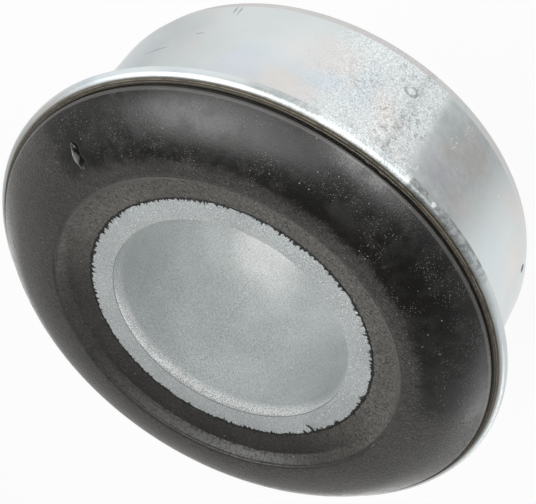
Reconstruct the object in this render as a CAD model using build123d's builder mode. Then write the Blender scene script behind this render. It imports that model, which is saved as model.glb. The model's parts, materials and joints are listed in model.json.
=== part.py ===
"""Flanged rubber-metal bush: a drawn steel outer sleeve and a thick-walled inner sleeve,
held apart by one rubber body that is moulded and bonded between them.

Millimetres. The Z axis is the axis of the bore. The origin is the centre of the inner
sleeve's rear end face, on which the bush stands; +Z points to the flange and its bead.
Every piece is turned from one section, drawn on the XZ plane as (radius, height).
"""

from build123d import *
import os

os.makedirs("parts", exist_ok=True)

# ---- Walls, from the bore outwards ----------------------------------------------------------
bore_d = 41.0
inner_wall = 4.5
rubber_wall = 13.0
sheet = 2.0  # outer sleeve and flange are drawn from one sheet; the press seat is 80 mm across
flange_overhang = 5.0  # the flange's edge past the press seat

# ---- Lengths along the axis -----------------------------------------------------------------
inner_length = 37.4
outer_length = 28.6  # outer sleeve, rear end to the flange's front face
rear_stand = 4.4  # how far the inner sleeve stands out past the outer one's rear end

# ---- Edges of the metal ---------------------------------------------------------------------
lead_in_depth = 2.2  # lead-in of the bore at each end, along the axis
lead_in_width = 0.2  # and across it
inner_edge_break = 0.5  # chamfer on the outer edge of the inner sleeve's bare rear end
bend_radius = 2.0  # between the press seat and the flange's back face
press_lead_depth = 2.2  # lead-in of the press seat at the rear end, along the axis
press_lead_width = 0.6  # and across it
flange_front_round = 1.0
flange_back_round = 0.6

# ---- Rubber: front bead with its well, lip on the flange, relief groove at the rear ----------
bead_height = 6.7  # crest of the bead above the flange's front face
bead_setback = 1.8  # the bead's outer edge, inside the flange's edge
bead_edge_height = 1.2  # that edge above the flange's front face
bead_tuck = 1.0  # the bead's foot, tucked in under that edge
lip_setback = 1.1  # the thin lip's edge, inside the flange's edge
lip_thickness = 0.35
well_width = 4.8  # floor of the well that keeps the bead clear of the clamping washer
well_rise = 0.55  # the floor climbs this much from the inner sleeve outwards
well_lean = 0.3  # draft of the well's wall, across the axis
well_corner_radius = 0.8  # between its floor and its wall
crest_inset = 0.5  # from the top of that wall to the crest
crest_drop = 0.35  # and how far the wall's top lies below it
rear_bare_inner = 4.0  # bare length of the inner sleeve behind the rubber
rear_bare_outer = 1.5  # bare depth of the outer sleeve's wall behind the rubber
rear_land = 2.2  # flat ring of rubber beside each sleeve
rear_groove_depth = 5.0

# ---- Places that the pieces share -----------------------------------------------------------
bore_r = bore_d / 2
inner_r = bore_r + inner_wall
wall_r = inner_r + rubber_wall
seat_r = wall_r + sheet
flange_r = seat_r + flange_overhang
outer_rear_z = rear_stand
flange_front_z = outer_rear_z + outer_length
flange_back_z = flange_front_z - sheet
bend_outer_r = seat_r + bend_radius
bend_start_z = flange_back_z - bend_radius
inside_bend_radius = bend_radius + sheet

# ---- Inner sleeve ---------------------------------------------------------------------------
with BuildPart() as inner_sleeve:
    with BuildSketch(Plane.XZ):
        with BuildLine():
            Polyline(
                (bore_r, lead_in_depth),
                (bore_r + lead_in_width, 0),
                (inner_r - inner_edge_break, 0),
                (inner_r, inner_edge_break),
                (inner_r, inner_length),
                (bore_r + lead_in_width, inner_length),
                (bore_r, inner_length - lead_in_depth),
                close=True,
            )
        make_face()
    revolve(axis=Axis.Z)

inner_sleeve.part.label = "inner_sleeve"
export_step(inner_sleeve.part, "parts/inner_sleeve.step")

# ---- Outer sleeve ---------------------------------------------------------------------------
# One sheet thickness throughout, so the inside of the bend is the outside plus the sheet.
edge_radii = [0, 0, 0, bend_radius, flange_back_round, flange_front_round, inside_bend_radius]

with BuildPart() as outer_sleeve:
    with BuildSketch(Plane.XZ):
        with BuildLine():
            FilletPolyline(
                (wall_r, outer_rear_z),
                (seat_r - press_lead_width, outer_rear_z),
                (seat_r, outer_rear_z + press_lead_depth),
                (seat_r, flange_back_z),
                (flange_r, flange_back_z),
                (flange_r, flange_front_z),
                (wall_r, flange_front_z),
                radius=edge_radii,
                close=True,
            )
        make_face()
    revolve(axis=Axis.Z)

outer_sleeve.part.label = "outer_sleeve"
export_step(outer_sleeve.part, "parts/outer_sleeve.step")

# ---- Rubber body ----------------------------------------------------------------------------
# The bead domes down from its crest to an outer edge that overhangs the flange, and its
# round underside tucks back in to the thin lip. Inside the crest it rolls over a small edge
# and drops down the well's drafted wall to a floor that ends flush with the inner sleeve.
well_r = inner_r + well_width
wall_top_r = well_r + well_lean
crest_r = wall_top_r + crest_inset
bead_r = flange_r - bead_setback
bead_foot_r = bead_r - bead_tuck
lip_r = flange_r - lip_setback
crest_z = flange_front_z + bead_height
bead_edge_z = flange_front_z + bead_edge_height
rear_inner_z = rear_bare_inner
rear_outer_z = outer_rear_z + rear_bare_outer
groove_middle_r = (inner_r + wall_r) / 2
groove_bottom_z = (rear_inner_z + rear_outer_z) / 2 + rear_groove_depth

with BuildPart() as rubber_body:
    with BuildSketch(Plane.XZ):
        with BuildLine():
            Line((inner_r, rear_inner_z), (inner_r, inner_length))
            well = FilletPolyline(
                (inner_r, inner_length),
                (well_r, inner_length + well_rise),
                (wall_top_r, crest_z - crest_drop),
                radius=well_corner_radius,
            )
            TangentArc((crest_r, crest_z), well @ 1, tangent=(-1, 0))
            TangentArc((crest_r, crest_z), (bead_r, bead_edge_z), tangent=(1, 0))
            EllipticalCenterArc(
                (bead_foot_r, bead_edge_z),
                x_radius=bead_tuck,
                y_radius=bead_edge_height,
                start_angle=-90,
                arc_size=90,
            )
            Line((bead_foot_r, flange_front_z), (bend_outer_r, flange_front_z))
            RadiusArc((bend_outer_r, flange_front_z), (wall_r, bend_start_z), -inside_bend_radius)
            Line((wall_r, bend_start_z), (wall_r, rear_outer_z))
            outer_land = Line((wall_r, rear_outer_z), (wall_r - rear_land, rear_outer_z))
            inner_land = Line((inner_r, rear_inner_z), (inner_r + rear_land, rear_inner_z))
            ThreePointArc(outer_land @ 1, (groove_middle_r, groove_bottom_z), inner_land @ 1)
        make_face()
        with Locations((lip_r, flange_front_z)):
            Rectangle(lip_r - crest_r, lip_thickness, align=(Align.MAX, Align.MIN))
    revolve(axis=Axis.Z)

rubber_body.part.label = "rubber_body"
export_step(rubber_body.part, "parts/rubber_body.step")
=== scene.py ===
"""Looks of a flanged rubber-metal bush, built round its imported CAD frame.

Three turned surfaces replace the solids: a zinc-plated outer sleeve with its flange, a
grit-blasted inner sleeve, and the rubber body between them. Three small pieces of the same
rubber are added: the torn flash on the inner sleeve's end, a thin fin on the lip, and a loose
thread. Metres, with +Z along the bore. The finishes work in millimetres and degrees.
"""

import json
import math

import bpy
import numpy as np
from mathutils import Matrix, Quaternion, Vector


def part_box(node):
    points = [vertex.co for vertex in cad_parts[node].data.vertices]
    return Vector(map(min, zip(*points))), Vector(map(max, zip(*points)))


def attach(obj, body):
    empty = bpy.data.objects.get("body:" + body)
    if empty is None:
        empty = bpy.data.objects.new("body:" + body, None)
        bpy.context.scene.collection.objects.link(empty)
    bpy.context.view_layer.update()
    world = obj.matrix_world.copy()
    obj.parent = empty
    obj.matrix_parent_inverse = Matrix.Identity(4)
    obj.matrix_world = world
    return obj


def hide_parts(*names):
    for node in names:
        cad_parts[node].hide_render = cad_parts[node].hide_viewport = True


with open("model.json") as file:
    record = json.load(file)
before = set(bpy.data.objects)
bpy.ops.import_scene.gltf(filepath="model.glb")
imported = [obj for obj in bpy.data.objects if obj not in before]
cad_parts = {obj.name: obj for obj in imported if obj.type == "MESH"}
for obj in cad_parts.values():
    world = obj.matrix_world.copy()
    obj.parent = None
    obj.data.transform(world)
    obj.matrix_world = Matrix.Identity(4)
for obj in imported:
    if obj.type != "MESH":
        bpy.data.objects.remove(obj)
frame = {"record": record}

bl_info = {
    "name": "Flanged rubber-metal bush",
    "version": (1, 0, 0),
    "blender": (4, 5, 0),
    "location": "View3D > Sidebar > Bush",
    "description": "Builds the sleeves, the rubber body and the studio round the frame",
    "category": "Object",
}

MM = 0.001
TURN = 2 * math.pi

# ---- What the frame says ----
MOUNTS = {mount["name"]: mount for mount in frame["record"]["mounts"]}


def reach(node):
    """Lowest and highest point of a turned node, and its largest radius."""
    low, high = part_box(node)
    return low[2], high[2], high[0]


INNER_REAR, INNER_FRONT, INNER_R = reach("inner_sleeve")
OUTER_REAR, FLANGE_FRONT, FLANGE_R = reach("outer_sleeve")
RUBBER_REAR, CREST_Z, LIP_R = reach("rubber_body")
BORE_R = MOUNTS["bore"]["dims"]["r_mm"] * MM
SEAT_R = MOUNTS["press_seat"]["dims"]["r_mm"] * MM

# The same places in millimetres, for the finishes: radii, then heights.
BORE_MM, INNER_MM, SEAT_MM, FLANGE_MM = BORE_R / MM, INNER_R / MM, SEAT_R / MM, FLANGE_R / MM
REAR_MM, FRONT_MM, END_MM = OUTER_REAR / MM, FLANGE_FRONT / MM, INNER_FRONT / MM


# ---- Settings that a user would change ----
def length(name, description, millimetres):
    return bpy.props.FloatProperty(
        name=name, description=description, default=millimetres * MM, unit="LENGTH", precision=5
    )


def angle(name, description, degrees):
    return bpy.props.FloatProperty(
        name=name, description=description, default=math.radians(degrees), subtype="ANGLE"
    )


def number(name, description, default, unit="NONE"):
    return bpy.props.FloatProperty(name=name, description=description, default=default, unit=unit)


def colour(name, description, default):
    return bpy.props.FloatVectorProperty(
        name=name, description=description, default=default, size=3, subtype="COLOR", min=0, max=1
    )


class BushSleeveSettings(bpy.types.PropertyGroup):
    """Sizes and colours of the two metal sleeves."""

    sheet: length("Sheet", "Thickness of the drawn outer sleeve", 2.0)
    bend: length("Bend", "Radius between the seat and the flange's back", 2.0)
    flange_front_round: length("Front edge", "Rounding of the flange's front edge", 1.0)
    flange_back_round: length("Back edge", "Rounding of the flange's back edge", 0.6)
    press_lead_depth: length("Press lead depth", "Lead-in of the seat along the axis", 2.2)
    press_lead_width: length("Press lead width", "Lead-in of the seat across the axis", 0.6)
    lead_in_depth: length("Bore lead depth", "Lead-in of the bore along the axis", 2.2)
    lead_in_width: length("Bore lead width", "Lead-in of the bore across the axis", 0.2)
    mouth_depth: length("Mouth depth", "Worn rounding of the bore along the axis", 1.1)
    mouth_width: length("Mouth width", "Worn rounding of the bore across the axis", 0.44)
    edge_break: length("Edge break", "Chamfer on the inner sleeve's rear edge", 0.5)
    zinc: colour("Zinc", "Bright zinc plating", (0.695, 0.735, 0.735))
    zinc_warm: colour("Warm bloom", "Rosy bloom in the plating", (0.74, 0.72, 0.70))
    zinc_cool: colour("Cool bloom", "Bluish bloom in the plating", (0.66, 0.72, 0.76))
    stain: colour("Stain", "Old bonding agent beside the rubber", (0.30, 0.25, 0.17))
    blasted: colour("Blasted end", "Coarse grit-blasted end face", (0.62, 0.655, 0.655))
    bore: colour("Bore", "Fine grit-blasted bore", (0.62, 0.66, 0.655))


class BushRubberSettings(bpy.types.PropertyGroup):
    """Sizes and colours of the rubber body and its flash."""

    bead_setback: length("Bead setback", "Bead's outer edge inside the flange's edge", 1.8)
    bead_edge_height: length("Bead edge", "Bead's outer edge above the flange", 1.2)
    bead_edge_round: length("Bead edge round", "Rounding of the bead's outer edge", 0.3)
    bead_tuck: length("Bead tuck", "Bead's foot inside its outer edge", 1.0)
    lip_thickness: length("Lip", "Thickness of the lip on the flange", 0.35)
    well_width: length("Well width", "Floor between the inner sleeve and the wall", 4.1)
    well_corner: length("Well corner", "Radius between the well's floor and its wall", 0.8)
    well_rise: length("Well rise", "Climb of the well's floor", 0.55)
    well_lean: length("Well lean", "Slope of the well's wall across the axis", 1.33)
    crest_inset: length("Crest inset", "From the top of the well's wall to the crest", 0.45)
    crest_drop: length("Crest drop", "Top of the well's wall below the crest", 0.4)
    rear_bare_outer: length("Bare wall", "Outer sleeve's bare wall at the rear", 1.5)
    rear_land: length("Rear land", "Flat ring of rubber beside each sleeve", 2.2)
    rear_groove: length("Rear groove", "Depth of the relief groove at the rear", 5.0)
    flash_width: length("Flash", "Mean reach of the flash over the blasted end", 0.25)
    rubber: colour("Rubber", "Black rubber with its bloom", (0.028, 0.0265, 0.0235))
    rubber_deep: colour("Deep rubber", "Cleaner, darker rubber", (0.005, 0.0045, 0.004))
    lip_tone: colour("Lip", "Lip with dried bonding agent on it", (0.060, 0.054, 0.042))
    # This pale colour also paints the grazing reflection on the far edge and the highlight along
    # the bead's edge.
    dust: colour("Dust", "Pale dust and scuffs", (0.42, 0.41, 0.39))


class BushStudioSettings(bpy.types.PropertyGroup):
    """Camera, lamps and floor."""

    elevation: angle("Elevation", "Camera above the horizon", 41.42)
    roll: angle("Roll", "Camera turned about its line of sight", -146.5)
    distance: length("Distance", "From the camera to the point it looks at", 251.2)
    lens: number("Lens", "Focal length for a 36 mm sensor", 107.5, "CAMERA")
    floor: colour("Floor", "Pale floor", (0.86, 0.86, 0.86))
    drop: length("Drop", "From the bush's rear end down to the floor", 50)
    back: number("Back", "Strength of the white wall behind", 1.0)
    front: number("Front", "Strength of the room in front", 0.55)
    zenith: number("Zenith", "Strength straight above", 0.10)
    key: number("Key", "Power of the key lamp", 0.55, "POWER")
    fill: number("Fill", "Power of the middle lamp", 1.95, "POWER")
    top: number("Top", "Power of the second lamp", 0.84, "POWER")
    side: number("Side", "Power of the low side lamp", 0.4, "POWER")


# Each lamp's azimuth and elevation in degrees, its distance, and its width and height.
LAMPS = {
    "key": (73, 48, 0.5, (0.22, 0.26)),
    "fill": (55, 53, 0.55, (0.46, 0.42)),
    "top": (-12, 41, 0.5, (0.20, 0.08)),
    "side": (-112, 10, 0.5, (0.36, 0.12)),
}


# ---- Sections and surfaces ----
def line(start, end, count):
    """Straight stretch from start to end without its last point. The points follow half a
    cosine wave, so they crowd towards both ends and keep the corners crisp."""
    t = (1 - np.cos(np.linspace(0, np.pi, count, endpoint=False))) / 2
    return np.array(start) + t[:, None] * (np.array(end) - np.array(start))


def arc(centre, radii, from_degrees, to_degrees, count):
    """Arc of an ellipse, or with one radius of a circle, without its last point: centre plus
    radii times cosine and sine."""
    t = np.radians(np.linspace(from_degrees, to_degrees, count, endpoint=False))
    return np.array(centre) + np.stack([np.cos(t), np.sin(t)], -1) * np.array(radii)


def rounded_corner(start, corner, end, radius):
    """Straight from start to end by way of a corner rounded to the radius, without the end. The
    arc starts radius / tan(half the angle between the two arms) away from the corner."""
    start, corner, end = np.array(start), np.array(corner), np.array(end)
    arms = [(tip - corner) / np.hypot(*(tip - corner)) for tip in (start, end)]
    half = math.acos(np.dot(*arms)) / 2
    inward = (arms[0] + arms[1]) / np.hypot(*(arms[0] + arms[1]))
    centre = corner + inward * radius / math.sin(half)
    first, last = (corner + arm * radius / math.tan(half) for arm in arms)
    t = np.linspace(-1, 1, 9)[:-1] * (math.pi / 2 - half)
    across = (last - first) / np.hypot(*(last - first))
    bow = centre + radius * (np.sin(t)[:, None] * across - np.cos(t)[:, None] * inward)
    return np.concatenate([line(start, first, 5), bow, line(last, end, 14)])


def bell(values, middle, width, power=2):
    """Bell curve: 1 at the middle, falling as exp(-((value - middle) / width) ** power)."""
    return np.exp(-(((values - middle) / width) ** power))


def crowded(count, low, high, place, width, strength):
    """count values from low up to high, closer together near a place. Their density is 1 plus
    strength times a bell curve of that width round the place, and its running sum is inverted."""
    fine = np.linspace(low, high, 20001)
    density = 1 + strength * bell(fine, place, width)
    running = np.concatenate([[0], np.cumsum((density[1:] + density[:-1]) / 2)])
    return np.interp(np.linspace(0, running[-1], count, endpoint=False), running, fine)


def outward(section):
    """Unit normals of a closed anticlockwise section: its tangent turned a quarter to the right."""
    along = np.roll(section, -1, 0) - np.roll(section, 1, 0)
    along /= np.hypot(*along.T)[:, None]
    return np.stack([along[:, 1], -along[:, 0]], -1)


def round_axis(radii, angles, heights):
    """Points round the Z axis: x is radius times cosine, y is radius times sine."""
    return np.stack([radii * np.cos(angles), radii * np.sin(angles), heights], -1)


def turned(section, angles, push=0.0):
    """Points of a section (radius, height) carried round the Z axis. Row by column, push moves
    each point along the section's outward normal before it is turned to its angle."""
    push = np.broadcast_to(push, (len(section), len(angles)))
    moved = section[:, None, :] + outward(section)[:, None, :] * push[:, :, None]
    return round_axis(moved[..., 0], angles, moved[..., 1])


def waves(angles, seed, counts, size):
    """A closed random ripple round the axis: a sum of sines with whole wave counts, random
    phases and strengths, scaled to the given size."""
    draw = np.random.default_rng(seed)
    phases = draw.uniform(0, TURN, len(counts))
    strengths = draw.uniform(0.4, 1, len(counts))
    total = sum(s * np.sin(n * angles + p) for n, p, s in zip(counts, phases, strengths))
    return size * total / strengths.sum()


def turn_between(angles, place):
    """Signed angle from place, wrapped to half a turn each way."""
    return (angles - place + math.pi) % TURN - math.pi


def ragged(angles, seed, count, low, high):
    """Random pointed tears round the axis: the highest of many triangles, whose places, widths
    (in radians) and heights (0 to 1, mostly small) are drawn at random."""
    draw = np.random.default_rng(seed)
    place = draw.uniform(-math.pi, math.pi, (count, 1))
    width = draw.uniform(low, high, (count, 1))
    height = draw.exponential(0.28, (count, 1)).clip(0.03, 1)
    lean = draw.uniform(-0.6, 0.6, (count, 1))
    away = turn_between(angles, place) / width
    away = away / (1 + lean * np.sign(away))
    return (height * (1 - np.abs(away)).clip(0, 1)).max(0)


def new_piece(name, points, faces, material):
    """A smooth piece at the origin that rides on the bush."""
    mesh = bpy.data.meshes.new(name)
    mesh.from_pydata(points.reshape(-1, 3).tolist(), [], faces)
    mesh.polygons.foreach_set("use_smooth", np.ones(len(faces), dtype=bool))
    mesh.materials.append(material)
    mesh.update()
    piece = bpy.data.objects.new(name, mesh)
    bpy.context.scene.collection.objects.link(piece)
    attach(piece, "root")
    return piece


def closed_ring(name, points, material):
    """A piece from points[row, column]: rows run anticlockwise round the section and columns
    round the axis, and both close on themselves, so it has no seam and no pole."""
    rows, columns = points.shape[:2]
    here = np.arange(rows * columns).reshape(rows, columns)
    beside = np.roll(here, -1, 1)
    faces = np.stack([here, beside, np.roll(beside, -1, 0), np.roll(here, -1, 0)], -1)
    return new_piece(name, points, faces.reshape(-1, 4).tolist(), material)


def closed_thread(name, path, thickness, material):
    """A closed round thread along a path that lies nearly flat: at each point a ring of eight
    stands across the path, its radius is the thickness there, and both ends are capped."""
    along = np.gradient(path, axis=0)
    along /= np.linalg.norm(along, axis=1)[:, None]
    side = np.cross(along, (0, 0, 1))
    side /= np.linalg.norm(side, axis=1)[:, None]
    above = np.cross(side, along)
    turn = np.linspace(0, TURN, 8, endpoint=False)[:, None]
    ring = np.cos(turn)[None] * side[:, None] + np.sin(turn)[None] * above[:, None]
    points = path[:, None] + ring * thickness[:, None, None]
    here = np.arange(points.shape[0] * 8).reshape(-1, 8)
    beside = np.roll(here, -1, 1)
    sides = np.stack([here[:-1], here[1:], beside[1:], beside[:-1]], -1).reshape(-1, 4).tolist()
    caps = [here[0].tolist(), here[-1][::-1].tolist()]
    return new_piece(name, points, sides + caps, material)


# ---- Shader maths ----
class Value:
    """One socket of a node tree. Its operators add Math nodes."""

    def __init__(self, finish, socket):
        self.finish = finish
        self.socket = socket

    def math(self, operation, *others):
        inputs = dict(enumerate((self, *others)))
        return self.finish.node("ShaderNodeMath", inputs, operation=operation)

    def __add__(self, other):
        return self.math("ADD", other)

    def __sub__(self, other):
        return self.math("SUBTRACT", other)

    def __mul__(self, other):
        return self.math("MULTIPLY", other)

    def __rsub__(self, other):
        return self.finish.node("ShaderNodeMath", {0: other, 1: self}, operation="SUBTRACT")

    __radd__ = __add__
    __rmul__ = __mul__

    def step(self, low, high, out_low=0.0, out_high=1.0):
        """Rises smoothly from out_low to out_high as this goes from low to high."""
        inputs = dict(enumerate((self, low, high, out_low, out_high)))
        return self.finish.node("ShaderNodeMapRange", inputs, interpolation_type="SMOOTHSTEP")

    def band(self, low, high, soft):
        """1 where this lies between low and high, with soft edges of that width."""
        return self.step(low - soft, low) * self.step(high + soft, high)

    def capped(self):
        """This, but never more than 1."""
        return self.math("MINIMUM", 1.0)


class Finish:
    """A material under construction, or with of() any other tree of shader nodes."""

    @classmethod
    def of(cls, tree):
        made = cls.__new__(cls)
        made.nodes = tree.nodes
        made.links = tree.links
        made.nodes.clear()
        return made

    def __init__(self, name):
        self.material = bpy.data.materials.new(name)
        self.material.use_nodes = True
        self.nodes = self.material.node_tree.nodes
        self.links = self.material.node_tree.links
        self.nodes.clear()
        metres = self.node("ShaderNodeTexCoord", output="Object")
        self.place = self.node("ShaderNodeMapping", {"Vector": metres, "Scale": (1 / MM,) * 3})
        self.x, self.y, self.z = (self.part(self.place, axis) for axis in "XYZ")
        self.radius = (self.x * self.x + self.y * self.y).math("SQRT")
        self.degrees = self.y.math("ARCTAN2", self.x) * (360 / TURN)

    def node(self, kind, inputs=None, output=0, **settings):
        """Adds a node: its settings first, then the values or links of its sockets."""
        made = self.nodes.new(kind)
        for key, value in settings.items():
            setattr(made, key, value)
        for key, value in (inputs or {}).items():
            socket = made.inputs[key]
            if isinstance(value, Value):
                self.links.new(value.socket, socket)
            elif socket.type == "RGBA" and len(value) == 3:
                socket.default_value = (*value, 1)
            else:
                socket.default_value = value
        return Value(self, made.outputs[output]) if made.outputs else None

    def part(self, vector, axis):
        """One of a vector's coordinates."""
        return self.node("ShaderNodeSeparateXYZ", {"Vector": vector}, output=axis)

    def ray(self, kind):
        """1 for rays of a kind and 0 for all others."""
        return self.node("ShaderNodeLightPath", output=f"Is {kind} Ray")

    def vector_math(self, operation, first, second=(0, 0, 0), output=0):
        return self.node("ShaderNodeVectorMath", {0: first, 1: second}, output, operation=operation)

    def noise(self, scale, detail=2.0, roughness=0.5, stretch=(1, 1, 1), shift=(0, 0, 0)):
        """Cloudy noise from 0 to 1, scale in features per millimetre."""
        moved = {"Vector": self.place, "Scale": stretch, "Location": shift}
        place = self.node("ShaderNodeMapping", moved)
        inputs = {"Vector": place, "Scale": scale, "Detail": detail, "Roughness": roughness}
        return self.node("ShaderNodeTexNoise", inputs)

    def cells(self, scale, output="Distance"):
        """Voronoi cells, scale in cells per millimetre."""
        return self.node("ShaderNodeTexVoronoi", {"Vector": self.place, "Scale": scale}, output)

    def specks(self, scale, size, share):
        """Small round specks: the middles of a random share of the cells."""
        chance = self.node("ShaderNodeSeparateColor", {"Color": self.cells(scale, "Color")})
        return self.cells(scale).step(size, size * 0.5) * chance.step(1 - share, 1 - share + 0.01)

    def near(self, point, reach_mm, stretch=(1, 1, 1)):
        """1 at a point, falling smoothly to 0 at reach_mm from it, in millimetres."""
        shift = self.vector_math("SUBTRACT", self.place, point)
        scaled = self.vector_math("MULTIPLY", shift, stretch)
        return self.vector_math("LENGTH", scaled, output="Value").step(reach_mm, 0)

    def mix(self, factor, low, high, blend="MIX"):
        """Mixes two colours by a value."""
        inputs = {0: factor, 6: low, 7: high}
        return self.node("ShaderNodeMix", inputs, output=2, data_type="RGBA", blend_type=blend)

    def shade(self, tone, factor):
        """A colour made lighter or darker: each channel times the factor."""
        grey = self.node("ShaderNodeCombineColor", {0: factor, 1: factor, 2: factor})
        return self.mix(1.0, tone, grey, "MULTIPLY")

    def bump(self, height, strength, distance_mm):
        """Normals of a height, in steps of distance_mm."""
        inputs = {"Height": height, "Strength": strength, "Distance": distance_mm * MM}
        return self.node("ShaderNodeBump", inputs, output="Normal")

    def surface(self, **sockets):
        """Ends the material in one Principled shader; names use _ for a space."""
        inputs = {key.replace("_", " "): value for key, value in sockets.items()}
        shader = self.node("ShaderNodeBsdfPrincipled", inputs)
        self.node("ShaderNodeOutputMaterial", {"Surface": shader})
        return self.material


# ---- Marks ----
def at(degrees, radius, height):
    """The point at an angle, a radius and a height."""
    turn = math.radians(degrees)
    return (radius * math.cos(turn), radius * math.sin(turn), height)


# Stretches round the outer sleeve: each fades in from the first angle to the second, in degrees.
# On the patch the speckled plating is also painted lighter, as a reflection.
PATCH_END, PATCH_FADE = (-105.2, -102.4), (-70, -86)
# The stretch beyond the patch is darker: partly duller plating, partly painted reflection shade.
DULL_AND_SHADED_END, DULL_AND_SHADED_FADE = (-102.6, -105.4), (-131, -116)
GATHERED_FLAKES = (-88, -96)

# Marks on the outer sleeve, in millimetres: place, reach, and colour or stretch.
BLOOMS = (
    (at(-109.4, SEAT_MM, 15.5), 4.0, (0.62, 0.57, 0.52)),
    (at(-110.5, SEAT_MM, 21.0), 6.0, (0.55, 0.54, 0.60)),
    (at(-106.5, SEAT_MM, 12.0), 5.0, (0.52, 0.59, 0.57)),
    (at(-59.0, SEAT_MM, 22.5), 6.5, (0.66, 0.69, 0.80)),
    (at(-70.0, SEAT_MM, 15.0), 6.0, (0.78, 0.76, 0.76)),
    (at(-134.0, SEAT_MM, 20.0), 7.0, (0.66, 0.74, 0.78)),
)
WHITE_SCRATCHES = (
    (at(-111.8, SEAT_MM, 8.6), 1.8),
    (at(-110.0, SEAT_MM, 13.6), 1.5),
    (at(-104.8, SEAT_MM, 24.1), 1.6),
    (at(-112.6, SEAT_MM, 24.0), 1.5),
    (at(-113.5, SEAT_MM, 17.5), 0.9),
)
DARK_SCRATCHES = (
    (at(-43.8, SEAT_MM, 14.0), 1.5, (1, 1, 7)),
    (at(-33.0, SEAT_MM, 16.7), 4.5, (1, 1, 18)),
    (at(-48.6, SEAT_MM, 7.2), 1.9, (6, 6, 1)),
    (at(-50.0, SEAT_MM, 7.8), 1.9, (6, 6, 1)),
)
BLEMISH = (at(-95.6, SEAT_MM, 11.7), 1.9)
CHIP = (at(-152.5, SEAT_MM, 8.6), 1.3, (0.62, 1, 1))
RIM_NICKS = ((at(-102.9, FLANGE_MM, 32.4), 0.75), (at(-109.8, FLANGE_MM, 32.4), 0.75))
WHITE_ZINC = (0.95, 0.96, 0.96)
DARK_ZINC = (0.20, 0.21, 0.22)
DULL_ZINC = (0.56, 0.52, 0.50)
RUBBER_SMEAR = (0.05, 0.045, 0.04)

# Painted glow in the bore, where light comes in through its rear end: place, reach and strength.
PAINTED_BORE_GLOW = (
    (at(88, BORE_MM, 2.0), 10.0, 0.95),
    (at(82, BORE_MM, 2.0), 6.5, 0.9),
    (at(102, BORE_MM, 6.0), 6.0, 0.3),
)
# Pale steel for the painted highlight at the mouth and the painted glow in the bore.
PAINTED_LIGHT_STEEL = (0.97, 0.98, 0.98)
PITTED_STEEL = (0.16, 0.16, 0.16)
GLINT = (1.0, 1.0, 1.0)
# Painted shade for the dark line at the mouth's edge.
EDGE_SHADE = (0.12, 0.12, 0.11)
RUSTY_EDGE = (0.66, 0.58, 0.48)

# Marks on the rubber: place and reach of the dust, and the cut.
DUST_PATCHES = (
    ((29.3, -24.9, 38.1), 5.0),
    ((25.5, -28.5, 38.1), 5.0),
    ((-23.9, -33.8, 35.7), 6.0),
    ((-34.3, -13.6, 38.8), 2.5),
)
CUT_DEGREES = -23.9
CUT_ANGLE = math.radians(CUT_DEGREES)
CUT_RADII = (34.6 * MM, 38.7 * MM)
CUT_LIP = at(CUT_DEGREES, 36.6, 39.0)
CUT_SHADOW = (0.0015, 0.0015, 0.0015)
DRIED_AGENT = (0.30, 0.26, 0.19)
STEEL_CRUMBS = (0.5, 0.52, 0.52)


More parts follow.
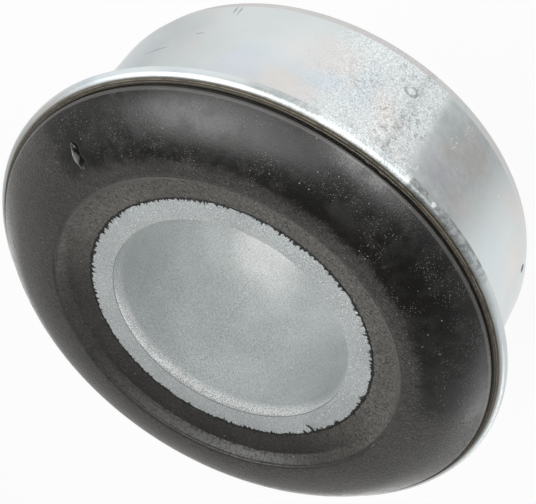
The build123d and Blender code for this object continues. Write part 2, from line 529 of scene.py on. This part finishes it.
# ---- Finishes ----
def zinc_plate(settings):
    """Bright zinc: a cloudy tone with faint blooms, a crystalline speckled patch that ends at a
    straight line and is painted lighter as a reflection, a stretch beyond it that is darker, partly
    duller plating and partly painted reflection shade, scratches and flecks, a dull strip at the
    rear, a flange edge with painted highlights in places and mottled and darker in others, partly
    mottled plating and partly painted shade, and a stain where it meets the rubber."""
    f = Finish("zinc_plate")
    clouds = f.noise(0.05, 3, 0.55)
    fray = f.noise(0.8, 2, shift=(3, 8, 1))
    grain = f.noise(5.5, 2)
    crystal = f.noise(3.4, 3, 0.75)
    flakes = f.noise(1.1, 4, 0.75, shift=(6, 2, 7)).step(0.50, 0.62)
    around = f.degrees + fray * 1.6 - 0.8
    patch = around.step(*PATCH_END) * around.step(*PATCH_FADE)
    smooth = around.step(*DULL_AND_SHADED_END) * around.step(*DULL_AND_SHADED_FADE)
    rim = f.radius.step(FLANGE_MM - 3, FLANGE_MM - 2)

    gathered = f.noise(0.16, 2, shift=(2, 2, 5)).step(0.38, 0.6) * 0.6
    gathered = gathered + around.step(*GATHERED_FLAKES) * 0.4
    speckle = crystal.step(0.40, 0.60, 0.80, 1.16) - flakes * gathered * 0.32
    speckle = speckle - around.band(-98.4, -96.6, 0.8) * 0.10
    # The patch's speckle is scaled by 1.12: a painted reflection that makes the patch lighter.
    light = clouds.step(0.3, 0.7, 0.92, 1.05) * (patch * (speckle * 1.12 - 1) + 1)
    # Painted reflection shade, together with duller plating, darkens the stretch beyond the patch.
    light = light * (1 - smooth * fray.step(0.2, 0.8, 0.24, 0.12))
    light = light * grain.step(0.25, 0.75, 0.96, 1.03)
    # The flange's edge gets painted highlights and painted shade round the axis.
    light = light * (rim * (rim_highlight_and_shade(f) * 0.94 - 1) + 1)
    tone = f.shade(zinc_tone(f, settings), light)
    rear = f.z.step(REAR_MM + 2.1, REAR_MM + 1.6) * f.noise(0.1, 2).step(0.3, 0.5)
    tone = f.mix(rear * 0.65, tone, DULL_ZINC)
    tone, flecks = zinc_marks(f, tone, fray)
    stained = f.radius.band(FLANGE_MM - 1.2, FLANGE_MM - 0.92, 0.12)
    stained = stained * f.z.step(FRONT_MM - 0.6, FRONT_MM - 0.2)
    tone = f.mix(stained * 0.75, tone, settings.stain)
    tone = f.mix(f.near(*CHIP).step(0.25, 0.6), tone, RUBBER_SMEAR)

    rough = clouds.step(0.3, 0.7, 0.32, 0.40) + patch * 0.08 + rim * 0.14 - flecks * 0.05
    drawn = f.noise(1.2, 3, 0.6, stretch=(0.15, 0.15, 6.0))
    height = drawn * 0.3 + crystal * patch * 0.6 + grain * 0.25
    height = height - flakes * patch * 0.3 + fray * rim * 1.2
    normal = f.bump(height, 0.20, 0.06)
    return f.surface(Base_Color=tone, Metallic=1.0, Roughness=rough, Normal=normal)


def zinc_tone(f, settings):
    """Zinc with broad warm and cool clouds and a few set blooms."""
    warm = f.noise(0.08, 2, shift=(31, 7, 12)).step(0.48, 0.75)
    cool = f.noise(0.09, 2, shift=(5, 40, 9)).step(0.48, 0.75)
    tone = f.mix(warm, settings.zinc, settings.zinc_warm)
    tone = f.mix(cool, tone, settings.zinc_cool)
    for place, reach_mm, bloom in BLOOMS:
        tone = f.mix(f.near(place, reach_mm) * 0.5, tone, bloom)
    return tone


def zinc_marks(f, tone, fray):
    """The tone with pale flecks and scratches, dark scratches and a round blemish, and the
    flecks by themselves."""
    flecks = f.specks(0.9, 0.20, 0.06) * f.noise(0.18, 2, shift=(3, 3, 3)).step(0.48, 0.62)
    white = f.noise(3.0, 3, 0.7, shift=(5, 5, 5)).step(0.56, 0.62)
    for place, reach_mm in WHITE_SCRATCHES:
        flecks = flecks + f.near(place, reach_mm, (1, 1, 0.6)).step(0.1, 0.6) * white
    tone = f.mix(flecks.capped() * 0.8, tone, WHITE_ZINC)
    dark = f.specks(0.55, 0.07, 0.12)
    for place, reach_mm, stretch in DARK_SCRATCHES:
        dark = dark + f.near(place, reach_mm, stretch).step(0.05, 0.6) * fray.step(0.30, 0.45)
    blemish = f.near(*BLEMISH)
    dark = dark + blemish.band(0.35, 0.60, 0.15) * fray.step(0.35, 0.50)
    tone = f.mix(dark.capped() * 0.55, tone, DARK_ZINC)
    tone = f.mix(blemish.step(0.55, 0.8) * white, tone, WHITE_ZINC)
    return tone, flecks


def rim_highlight_and_shade(f):
    """How light the flange's edge is round the axis: painted highlights on two stretches, mottled
    and darker on two others, partly real mottling and partly painted shade, with two bright nicks."""
    around = f.degrees
    mottle = f.noise(1.0, 3, 0.7, shift=(8, 1, 2)).step(0.40, 0.60, 0.70, 1.10)
    # Painted highlight on two stretches; painted shade with real mottling on two others.
    bright = around.band(-66, -36, 5) + around.band(-102.4, -84, 2)
    dull = around.band(-80, -71, 4) * 0.5 + around.band(-128, -104, 1.5)
    light = 1 + bright * 0.18 + dull * (mottle * 0.80 - 1)
    for place, reach_mm in RIM_NICKS:
        light = light + f.near(place, reach_mm).step(0.2, 0.7) * 0.8
    return light


def blasted_steel(settings):
    """Grit-blasted steel: a coarse crumbly end face, a fine sparkling bore with a painted glow deep
    inside, and between them a mouth painted pale as a highlight on the far side, with a line round
    its edge, painted dark as shade on the far side and rusty on the near side, told apart by height
    and radius."""
    f = Finish("blasted_steel")
    end = f.z.step(END_MM - 0.07, END_MM - 0.03) * f.radius.step(BORE_MM + 0.30, BORE_MM + 0.38)
    inside = 1 - end
    # The far side of the mouth below its rounded edge: painted pale as a highlight; its stronger
    # bump and lower roughness are real.
    worn = f.z.step(END_MM - 2.8, END_MM - 1.0) * inside * f.y.step(0, 14)
    coarse = f.noise(4.6, 2, 0.6)
    crumbs = f.cells(3.8)
    fine = f.noise(5.2, 3, 0.72)
    sparkle = (f.specks(1.7, 0.26, 0.22) + f.specks(3.1, 0.42, 0.75) * worn).capped()

    grit = coarse.step(0.36, 0.62, 0.76, 1.13) * crumbs.step(0.30, 0.80, 1.05, 0.86)
    grain = fine.step(0.32, 0.68, 0.72, 1.24) * (1 - worn * fine.step(0.52, 0.40) * 0.35)
    light = (grit * end + grain * inside) * f.noise(0.09, 2).step(0.3, 0.7, 0.92, 1.06)
    tone = f.mix(end, settings.bore, settings.blasted)
    # Painted highlight on the far side of the mouth.
    tone = f.mix(worn * 0.9, tone, PAINTED_LIGHT_STEEL)
    # Painted glow deep in the bore.
    for place, reach_mm, strength in PAINTED_BORE_GLOW:
        tone = f.mix(f.near(place, reach_mm, (1, 1, 0.7)) * strength, tone, PAINTED_LIGHT_STEEL)
    tone = f.shade(tone, light)
    tone = f.mix(f.specks(1.5, 0.24, 0.14) * inside * 0.45, tone, PITTED_STEEL)
    tone = f.mix(sparkle * 0.9, tone, GLINT)
    edge = f.radius.band(BORE_MM + 0.39, BORE_MM + 0.48, 0.07) * end
    # Painted shade: the line along the mouth's edge is dark on the far side; on the near side it is
    # rusty.
    tone = f.mix(edge * f.y.step(-6, 4) * 0.7, tone, EDGE_SHADE)
    tone = f.mix(edge * f.y.step(4, -6) * 0.45, tone, RUSTY_EDGE)

    rough = 0.42 - sparkle * 0.16 + end * 0.10 - worn * 0.06
    height = (coarse.step(0.35, 0.65) - crumbs * 0.5) * end
    height = height + fine.step(0.3, 0.7) * inside * (worn * 0.5 + 0.8)
    normal = f.bump(height, 0.7, 0.16)
    return f.surface(Base_Color=tone, Metallic=0.92, Roughness=rough, Normal=normal)


def moulded_rubber(settings):
    """Black rubber: a matte skin with fine elongated pits round the well and on the far side, a
    smoother satin skin with smears outside the bead's crest, a smooth outer edge on the far side
    painted paler as a grazing reflection, a painted highlight along the bead's rounded edge, fine
    dust in drifts, a brownish lip, and an open cut with a painted shadow in its trench and a paler
    strip along its flap."""
    f = Finish("moulded_rubber")
    drift = f.noise(0.10, 3, 0.6, shift=(2, 5, 1))
    clouds = f.noise(0.45, 3, 0.6, shift=(4, 1, 8))
    skin = f.noise(2.3, 2, 0.55)
    leather = f.noise(1.3, 2, 0.6, stretch=(1.0, 1.9, 1.0))
    pores = f.noise(2.1, 2, 0.55, stretch=(1.5, 1.0, 1.0), shift=(7, 3, 3)).step(0.45, 0.35)
    polish = (f.radius + clouds * 3.0).step(33.8, 36.2) * (f.y + clouds * 6).step(-4, -11)
    matte = 1 - polish
    above_rear = f.z.step(END_MM - 1.4, END_MM - 0.4)
    lit = f.radius.band(INNER_MM - 1, 30.2, 0.3) * above_rear * f.y.step(18, -6)
    unlit = f.radius.band(INNER_MM - 1, 29.0, 0.3) * above_rear * f.y.step(0, 12)
    wall = f.radius.band(29.3, 30.9, 0.25) * f.z.step(END_MM + 0.7, END_MM + 1.1)
    # The far side's outer slope: smoother and less bumpy, and painted paler as a grazing
    # reflection.
    edge = f.radius.step(37.5, 41.5) * f.y.step(0, 22) * clouds.step(0.25, 0.6, 0.5, 1.0)
    smudge = f.noise(0.30, 4, 0.6, shift=(1, 9, 3)).step(0.42, 0.68) * polish
    dusty = drifting_dust(f, clouds)

    grain = skin.step(0.36, 0.64, 0.74, 1.32) * leather.step(0.36, 0.64, 0.78, 1.22)
    grain = grain * (1 - pores * 0.75) * matte + polish
    light = drift.step(0.3, 0.7, 0.85, 1.2) * grain * (lit * 1.8 + 1 - unlit * 0.30)
    tone = f.shade(f.mix(polish, settings.rubber, settings.rubber_deep), light)
    tone = cut_tone(f, tone, clouds, settings)
    # Painted reflection: the far side's outer edge mixed towards the pale colour.
    tone = f.mix(edge * 0.20, tone, settings.dust)
    tone = f.mix(smudge * 0.012, tone, settings.dust)
    tone = f.mix(dusty * 0.45 + f.specks(0.7, 0.10, 0.4) * 0.5, tone, settings.dust)
    lip = f.radius.step(FLANGE_MM - 1.85, FLANGE_MM - 1.7)
    lip = lip * f.z.step(FRONT_MM + 0.6, FRONT_MM + 0.5) * f.z.step(FRONT_MM + 0.1, FRONT_MM + 0.2)
    tone = f.mix(lip, tone, settings.lip_tone)
    # Painted highlight: a thin paler line along the bead's rounded outer edge.
    bead_edge_highlight = f.radius.band(FLANGE_MM - 2.05, FLANGE_MM - 1.75, 0.12)
    bead_edge_highlight = bead_edge_highlight * f.z.band(FRONT_MM + 1.1, FRONT_MM + 1.5, 0.15)
    tone = f.mix(bead_edge_highlight * 0.14, tone, settings.dust)
    dried = f.radius.step(FLANGE_MM - 1.18, FLANGE_MM - 1.12) * lip * clouds.step(0.40, 0.55)
    tone = f.mix(dried * 0.5, tone, DRIED_AGENT)
    crumbs = f.specks(3.4, 0.3, 0.35) * f.radius.band(INNER_MM, INNER_MM + 0.35, 0.2)
    crumbs = crumbs * f.z.step(END_MM - 0.5, END_MM - 0.3)
    tone = f.mix(crumbs * 0.8, tone, STEEL_CRUMBS)

    rough = 0.43 - polish * 0.12 - edge * 0.28 + smudge * 0.10 + dusty * 0.15 + lip * 0.1
    height = (skin * 0.7 + leather * 0.6 - pores * 0.8) * (matte * 0.93 + 0.07)
    height = height * (1 - wall * 0.75) * (1 - edge * 0.95)
    normal = f.bump(height, 0.75, 0.16)
    sheen = {"Sheen_Weight": 0.12, "Sheen_Roughness": 0.30, "Sheen_Tint": (1.0, 0.96, 0.90)}
    return f.surface(Base_Color=tone, Roughness=rough, Normal=normal, IOR=1.53, **sheen)


def cut_tone(f, tone, clouds, settings):
    """The tone with the cut's trench painted dark as shadow and, beside it, a paler strip along the
    edge of its flap.
    """
    place = f.vector_math("SUBTRACT", f.place, CUT_LIP)
    turned_by = {"Vector": place, "Rotation": (0, 0, -CUT_ANGLE)}
    place = f.node("ShaderNodeMapping", turned_by)
    beside = f.part(place, "Y")
    within = f.part(place, "X").band(-1.5, 1.5, 0.4) * f.z.step(END_MM - 2.4, END_MM - 1.4)
    # A paler strip along the edge of the flap.
    pale_flap_strip = beside.band(-0.04, 0.16, 0.10) * within * clouds.step(0.3, 0.5, 0.25, 0.55)
    tone = f.mix(pale_flap_strip, tone, settings.dust)
    return f.mix(beside.band(-1.1, -0.28, 0.5) * within, tone, CUT_SHADOW)


def drifting_dust(f, clouds):
    """Fine specks that gather in drifts on the near side of the bead and in a few set patches."""
    front = f.radius.band(30.5, 41.5, 3) * f.y.step(8, -4)
    gathered = f.noise(0.17, 3, 0.6, shift=(7, 7, 2)).step(0.46, 0.62) * front
    for place, reach_mm in DUST_PATCHES:
        patch = f.near(place, reach_mm).step(0.0, 0.8) * clouds.step(0.3, 0.5)
        gathered = gathered.math("MAXIMUM", patch)
    loose = f.specks(2.3, 0.22, 0.5) * (gathered * 0.8 + 0.1) * clouds.step(0.3, 0.7, 0.5, 1.0)
    return loose + f.specks(3.4, 0.28, 0.5) * gathered * 0.8


def torn_rubber(name, tone):
    """Thin torn rubber, a little shiny."""
    f = Finish(name)
    tear = f.noise(2.2, 3, 0.6)
    tone = f.shade(tone, tear.step(0.3, 0.7, 0.8, 2.4))
    rough = tear.step(0.3, 0.7, 0.4, 0.65)
    return f.surface(Base_Color=tone, Roughness=rough, Normal=f.bump(tear, 0.5, 0.1))


# ---- Shapes of the pieces ----
def outer_sleeve_section(s):
    """Drawn sheet of one thickness: lead-in, seat, bend and flange with two rounded edges. The
    bend's inside radius is its outside radius plus the sheet."""
    back, wall = FLANGE_FRONT - s.sheet, SEAT_R - s.sheet
    bend = (SEAT_R + s.bend, back - s.bend)
    inside = s.bend + s.sheet
    lead = (SEAT_R - s.press_lead_width, OUTER_REAR)
    seat = (SEAT_R, OUTER_REAR + s.press_lead_depth)
    edge_back, edge_front = s.flange_back_round, s.flange_front_round
    back_centre = (FLANGE_R - edge_back, back + edge_back)
    front_centre = (FLANGE_R - edge_front, FLANGE_FRONT - edge_front)
    parts = [
        line((wall, OUTER_REAR), lead, 8),
        line(lead, seat, 8),
        line(seat, (SEAT_R, bend[1]), 22),
        arc(bend, s.bend, 180, 90, 7),
        line((bend[0], back), (back_centre[0], back), 5),
        arc(back_centre, edge_back, -90, 0, 5),
        line((FLANGE_R, back_centre[1]), (FLANGE_R, front_centre[1]), 3),
        arc(front_centre, edge_front, 0, 90, 7),
        line((front_centre[0], FLANGE_FRONT), (bend[0], FLANGE_FRONT), 5),
        arc(bend, inside, 90, 180, 6),
        line((wall, bend[1]), (wall, OUTER_REAR), 10),
    ]
    return np.concatenate(parts)


def inner_sleeve_section(s):
    """Plain tube with a lead-in at the rear end of its bore, a chamfer outside at the rear, and
    a front mouth worn to an arc that leaves the bore straight up: it turns by twice the angle
    whose tangent is width over depth, and its radius is depth / sine of that turn."""
    mouth = BORE_R + s.lead_in_width
    bend = 2 * math.atan(s.mouth_width / s.mouth_depth)
    radius = s.mouth_depth / math.sin(bend)
    worn = (BORE_R + radius, INNER_FRONT - s.mouth_depth)
    rear_edge = (INNER_R - s.edge_break, INNER_REAR)
    rear_side = (INNER_R, INNER_REAR + s.edge_break)
    lead = (BORE_R, INNER_REAR + s.lead_in_depth)
    parts = [
        line((mouth, INNER_REAR), rear_edge, 8),
        line(rear_edge, rear_side, 4),
        line(rear_side, (INNER_R, INNER_FRONT), 12),
        line((INNER_R, INNER_FRONT), (BORE_R + s.mouth_width, INNER_FRONT), 16),
        arc(worn, radius, 180 - math.degrees(bend), 180, 12),
        line((BORE_R, worn[1]), lead, 26),
        line(lead, (mouth, INNER_REAR), 6),
    ]
    return np.concatenate(parts)


def rubber_section(s, sleeve):
    """Rear lands and groove, the wall and bend that the outer sleeve gives, the lip, the bead's
    round underside, its rounded edge and its dome, a rolled edge, the well's wall and floor.
    The dome is an arc, level at the crest, whose radius is (a * a + h * h) / (2 * h) for the
    width a and the height h between the crest and the outer edge."""
    wall = SEAT_R - sleeve.sheet
    bend = (SEAT_R + sleeve.bend, FLANGE_FRONT - sleeve.sheet - sleeve.bend)
    inside = sleeve.bend + sleeve.sheet
    land_outer = (wall - s.rear_land, OUTER_REAR + s.rear_bare_outer)
    land_inner = (INNER_R + s.rear_land, RUBBER_REAR)
    groove_middle = (land_outer[0] + land_inner[0]) / 2
    groove_half = (land_outer[0] - land_inner[0]) / 2
    groove = arc((groove_middle, 0), (groove_half, s.rear_groove), 180, 0, 24)
    slope = (groove[:, 0] - land_inner[0]) / (2 * groove_half)
    groove[:, 1] += land_inner[1] + slope * (land_outer[1] - land_inner[1])

    bead = FLANGE_R - s.bead_setback
    well = INNER_R + s.well_width
    well_foot = (well, INNER_FRONT + s.well_rise)
    wall_top = (well + s.well_lean, CREST_Z - s.crest_drop)
    crest = wall_top[0] + s.crest_inset
    width, drop = bead - crest, CREST_Z - FLANGE_FRONT - s.bead_edge_height
    dome = (width * width + drop * drop) / (2 * drop)
    run = width - s.bead_edge_round
    rise = math.sqrt((dome - s.bead_edge_round) ** 2 - run * run)
    edge = (bead - s.bead_edge_round, CREST_Z - dome + rise)
    lean = math.degrees(math.atan2(rise, run))

    lip_top = FLANGE_FRONT + s.lip_thickness
    foot = (bead - s.bead_tuck, edge[1])
    tuck = edge[1] - FLANGE_FRONT
    foot_start = -math.asin(1 - s.lip_thickness / tuck)
    foot_r = foot[0] + s.bead_tuck * math.cos(foot_start)
    parts = [
        line((INNER_R, RUBBER_REAR), land_inner, 4),
        groove,
        line(land_outer, (wall, land_outer[1]), 4),
        line((wall, land_outer[1]), (wall, bend[1]), 8),
        arc(bend, inside, 180, 90, 6),
        line((bend[0], FLANGE_FRONT), (LIP_R, FLANGE_FRONT), 5),
        line((LIP_R, FLANGE_FRONT), (LIP_R, lip_top), 3),
        line((LIP_R, lip_top), (foot_r, lip_top), 8),
        arc(foot, (s.bead_tuck, tuck), math.degrees(foot_start), 0, 8),
        arc(edge, s.bead_edge_round, 0, lean, 5),
        arc((crest, CREST_Z - dome), dome, lean, 90, 80),
        arc((crest, wall_top[1]), (s.crest_inset, s.crest_drop), 90, 180, 10),
        rounded_corner(wall_top, well_foot, (INNER_R, INNER_FRONT), s.well_corner),
        line((INNER_R, INNER_FRONT), (INNER_R, RUBBER_REAR), 8),
    ]
    return np.concatenate(parts)


def cut(section, angles):
    """Depth of the cut in the dome: a bell-shaped trench beside a narrower raised flap, both
    tapered as a sine over the radii that the cut spans. Its line wanders as a faint sine."""
    radius = section[:, 0][:, None]
    wander = 0.004 * np.sin(radius / MM * 2.1)
    across = turn_between(angles, CUT_ANGLE + wander) * radius / MM
    on_dome = section[:, 1][:, None] > FLANGE_FRONT + 2 * MM
    along = np.clip((radius - CUT_RADII[0]) / (CUT_RADII[1] - CUT_RADII[0]), 0, 1)
    ends = np.sin(math.pi * along**0.8) ** 0.8
    trench = -1.1 * bell(across, -0.55, 0.42)
    flap = 0.50 * bell(across, 0.08, 0.18)
    return (trench + flap) * ends * on_dome * MM


def flash_points(s):
    """Flash on the inner sleeve's end. At each angle five points close a thin strip: its inner
    edge reaches in from the sleeve's outside by the flash's width times a drift times random
    tears, its outer edge reaches out over the rubber, and it is a tenth of a millimetre thick."""
    angles = np.linspace(-math.pi, math.pi, 4400, endpoint=False)
    drift = (0.7 + waves(angles, 3, range(3, 40), 0.9)).clip(0.25, 1.6)
    tears = ragged(angles, 5, 620, 0.004, 0.016) * 1.25
    tears = tears + ragged(angles, 6, 160, 0.010, 0.030) * 0.5
    reach_in = s.flash_width * (0.15 + drift * (tears * 3.6 + 0.2))
    inner = INNER_R - reach_in.clip(0.02 * MM, 1.15 * MM)
    outer = INNER_R + (0.16 + 0.30 * ragged(angles, 8, 500, 0.006, 0.02)) * MM
    bed, top = 0.004 * MM, 0.10 * MM
    radii = np.stack([inner, outer, outer, (inner + outer * 2) / 3, (inner * 2 + outer) / 3])
    heights = INNER_FRONT + np.array([bed, bed, top, top * 1.3, top * 0.7])
    return round_axis(radii, angles, np.repeat(heights[:, None], len(angles), 1))


def lip_flash_points(s):
    """Fin on the lip. At each angle four points close a thin upright strip: its height is a
    faint ripple, plus random tears under a bell curve of the fourth power on the near side,
    where its line also wanders and its top leans outwards."""
    torn_middle, torn_width = math.radians(-93), math.radians(14)
    angles = crowded(1500, -math.pi, math.pi, torn_middle, 0.45, 3)
    torn = bell(angles, torn_middle, torn_width, 4)
    height = (0.05 + 0.03 * waves(angles, 4, range(4, 30), 1.0)) * MM
    height = height + torn * (0.34 + 0.40 * ragged(angles, 9, 160, 0.004, 0.03)) * MM
    wander = waves(angles, 12, range(9, 50), 0.14 * MM) * torn
    middle = FLANGE_R - s.bead_setback + 0.32 * MM + wander
    half, lean = 0.09 * MM, torn * 0.10 * MM
    top, foot = middle + lean, np.full_like(middle, FLANGE_FRONT + s.lip_thickness - 0.03 * MM)
    tip = FLANGE_FRONT + s.lip_thickness + height
    radii = np.stack([middle - half, middle + half, top + half * 0.5, top - half * 0.5])
    return round_axis(radii, angles, np.stack([foot, foot, tip, tip]))


# ---- Operators ----
class BUSH_OT_outer_sleeve(bpy.types.Operator):
    """Build the zinc-plated outer sleeve with its flange"""

    bl_idname = "bush.outer_sleeve"
    bl_label = "Outer sleeve"

    def execute(self, context):
        settings = context.scene.bush_sleeves
        section = outer_sleeve_section(settings)
        angles = np.linspace(0, TURN, 1150, endpoint=False)
        outside = section[:, 0] > SEAT_R - 1.2 * MM
        ripple = 0.03 * MM
        push = outside[:, None] * (waves(angles, 11, range(3, 40), ripple) - ripple)
        points = turned(section, angles, push)
        piece = closed_ring("outer_sleeve_plated", points, zinc_plate(settings))
        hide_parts("outer_sleeve")
        return {"FINISHED"}


class BUSH_OT_inner_sleeve(bpy.types.Operator):
    """Build the grit-blasted inner sleeve"""

    bl_idname = "bush.inner_sleeve"
    bl_label = "Inner sleeve"

    def execute(self, context):
        settings = context.scene.bush_sleeves
        angles = np.linspace(0, TURN, 720, endpoint=False)
        points = turned(inner_sleeve_section(settings), angles)
        piece = closed_ring("inner_sleeve_blasted", points, blasted_steel(settings))
        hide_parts("inner_sleeve")
        return {"FINISHED"}


class BUSH_OT_rubber_body(bpy.types.Operator):
    """Build the moulded rubber body"""

    bl_idname = "bush.rubber_body"
    bl_label = "Rubber body"

    def execute(self, context):
        settings = context.scene.bush_rubber
        section = rubber_section(settings, context.scene.bush_sleeves)
        angles = crowded(470, -math.pi, math.pi, CUT_ANGLE, 0.04, 22)
        points = turned(section, angles, cut(section, angles))
        piece = closed_ring("rubber_body_moulded", points, moulded_rubber(settings))
        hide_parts("rubber_body")
        return {"FINISHED"}


class BUSH_OT_flash(bpy.types.Operator):
    """Build the torn flash on the inner sleeve's end"""

    bl_idname = "bush.flash"
    bl_label = "Flash"

    def execute(self, context):
        settings = context.scene.bush_rubber
        material = torn_rubber("torn_rubber", settings.rubber_deep)
        piece = closed_ring("rubber_flash", flash_points(settings), material)
        return {"FINISHED"}


class BUSH_OT_lip_flash(bpy.types.Operator):
    """Build the thin fin that stands on the lip, torn along part of the near side"""

    bl_idname = "bush.lip_flash"
    bl_label = "Lip flash"

    def execute(self, context):
        settings = context.scene.bush_rubber
        material = torn_rubber("torn_lip", settings.lip_tone)
        piece = closed_ring("lip_flash", lip_flash_points(settings), material)
        return {"FINISHED"}


class BUSH_OT_thread(bpy.types.Operator):
    """Build the loose thread of rubber that lies across the inner sleeve's end"""

    bl_idname = "bush.thread"
    bl_label = "Thread"

    def execute(self, context):
        settings = context.scene.bush_rubber
        t = np.linspace(0, 1, 25)
        angles = np.radians(151.0 + 2.4 * t + 0.5 * np.sin(t * 5))
        radii = (23.1 + 2.1 * t) * MM
        path = round_axis(radii, angles, INNER_FRONT + (0.12 + 0.10 * np.sin(t * math.pi)) * MM)
        taper = np.sqrt(np.sin(math.pi * (0.02 + 0.96 * t)))
        thickness = (0.12 + 0.06 * (1 - t)) * taper * MM
        material = torn_rubber("thread_rubber", settings.rubber_deep)
        piece = closed_thread("rubber_thread", path, thickness, material)
        return {"FINISHED"}


class BUSH_OT_studio(bpy.types.Operator):
    """Build the floor, the lamps, the world and the camera"""

    bl_idname = "bush.studio"
    bl_label = "Studio"

    def execute(self, context):
        settings = context.scene.bush_studio
        context.scene.view_settings.view_transform = "Standard"
        self.floor(settings)
        self.world(context.scene, settings)
        for name, place in LAMPS.items():
            self.lamp(name, *place, getattr(settings, name))
        self.camera(context.scene, settings)
        return {"FINISHED"}

    def floor(self, s):
        """A round pale floor that glows for the camera and in metal, but less in metal where
        two soft shadows would lie."""
        mesh = bpy.data.meshes.new("floor")
        t = np.linspace(0, TURN, 96, endpoint=False)
        rim = round_axis(np.full_like(t, 1.5), t, np.zeros_like(t))
        mesh.from_pydata(rim.tolist(), [], [list(range(len(t)))])
        floor = bpy.data.objects.new("floor", mesh)
        floor.location.z = -s.drop
        bpy.context.scene.collection.objects.link(floor)
        f = Finish("pale_floor")
        camera = f.ray("Camera")
        glossy = f.ray("Glossy")
        through = f.ray("Transmission")
        mirrored = glossy.math("MAXIMUM", through)
        seen = (camera * 0.92).math("MAXIMUM", mirrored * 0.9)
        shade = f.near((-82, -70, 0), 60) * 0.70 + f.near((105, 12, 0), 78) * 0.42
        diffuse = f.node("ShaderNodeBsdfDiffuse", {"Color": s.floor})
        strength = 1 - shade * mirrored
        glow = f.node("ShaderNodeEmission", {"Color": (1, 1, 1), "Strength": strength})
        shader = f.node("ShaderNodeMixShader", {0: seen, 1: diffuse, 2: glow})
        f.node("ShaderNodeOutputMaterial", {"Surface": shader})
        mesh.materials.append(f.material)

    def world(self, scene, s):
        """A studio: a wall behind that is white at its foot, a dimmer room in front, dark above,
        and white to the camera."""
        world = bpy.data.worlds.new("studio")
        world.use_nodes = True
        scene.world = world
        w = Finish.of(world.node_tree)
        place = w.node("ShaderNodeTexCoord", output="Generated")
        toward = w.vector_math("DOT_PRODUCT", place, (-0.26, 0.966, 0), output="Value")
        height = w.part(place, "Z")
        wall = toward.step(0.35, 0.85, s.front, s.back) * height.step(0.25, 0.70, 1.0, 0.62)
        fade = height.step(0.60, 0.76)
        camera = w.ray("Camera")
        strength = (wall * (1 - fade) + s.zenith * fade).math("MAXIMUM", camera)
        background = w.node("ShaderNodeBackground", {"Strength": strength})
        w.node("ShaderNodeOutputWorld", {"Surface": background})

    def lamp(self, name, azimuth, elevation, distance, size, power):
        """A soft lamp that looks at the bush's middle; size is its width and height."""
        light = bpy.data.lights.new(name, "AREA")
        light.energy = power
        light.shape = "RECTANGLE"
        light.size, light.size_y = size
        lamp = bpy.data.objects.new(name, light)
        a, e = math.radians(azimuth), math.radians(elevation)
        back = Vector((math.sin(a) * math.cos(e), -math.cos(a) * math.cos(e), math.sin(e)))
        lamp.location = Vector((0, 0, 20 * MM)) + back * distance
        lamp.rotation_mode = "QUATERNION"
        lamp.rotation_quaternion = (-back).to_track_quat("-Z", "Y")
        lamp.visible_camera = False
        bpy.context.scene.collection.objects.link(lamp)

    def camera(self, scene, s):
        """Looks at the flange from in front and above, turned about its line of sight."""
        camera = bpy.data.objects.new("camera", bpy.data.cameras.new("camera"))
        back = Vector((0, -math.cos(s.elevation), math.sin(s.elevation)))
        camera.location = Vector((0.85 * MM, -13.5 * MM, 32 * MM)) + back * s.distance
        camera.rotation_mode = "QUATERNION"
        level = (-back).to_track_quat("-Z", "Y")
        camera.rotation_quaternion = level @ Quaternion((0, 0, 1), s.roll)
        camera.data.lens = s.lens
        camera.data.clip_start = 0.01
        camera.data.clip_end = 10
        scene.collection.objects.link(camera)
        scene.camera = camera


class BUSH_PT_panel(bpy.types.Panel):
    """Lists the pieces and their settings"""

    bl_label = "Rubber-metal bush"
    bl_space_type = "VIEW_3D"
    bl_region_type = "UI"
    bl_category = "Bush"

    def draw(self, context):
        for operator in OPERATORS:
            self.layout.operator(operator.bl_idname)
        for group in SETTINGS:
            settings = getattr(context.scene, group)
            box = self.layout.box()
            for name in settings.bl_rna.properties.keys():
                if name not in ("rna_type", "name"):
                    box.prop(settings, name)


SETTINGS = {
    "bush_sleeves": BushSleeveSettings,
    "bush_rubber": BushRubberSettings,
    "bush_studio": BushStudioSettings,
}
OPERATORS = (
    BUSH_OT_outer_sleeve,
    BUSH_OT_inner_sleeve,
    BUSH_OT_rubber_body,
    BUSH_OT_flash,
    BUSH_OT_lip_flash,
    BUSH_OT_thread,
    BUSH_OT_studio,
)
CLASSES = (*SETTINGS.values(), *OPERATORS, BUSH_PT_panel)


def register():
    for cls in CLASSES:
        bpy.utils.register_class(cls)
    for name, cls in SETTINGS.items():
        setattr(bpy.types.Scene, name, bpy.props.PointerProperty(type=cls))


def unregister():
    for name in SETTINGS:
        delattr(bpy.types.Scene, name)
    for cls in reversed(CLASSES):
        bpy.utils.unregister_class(cls)


def main():
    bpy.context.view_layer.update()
    register()
    bpy.ops.bush.outer_sleeve()
    bpy.ops.bush.inner_sleeve()
    bpy.ops.bush.rubber_body()
    bpy.ops.bush.flash()
    bpy.ops.bush.lip_flash()
    bpy.ops.bush.thread()
    bpy.ops.bush.studio()


if __name__ == "__main__":
    main()
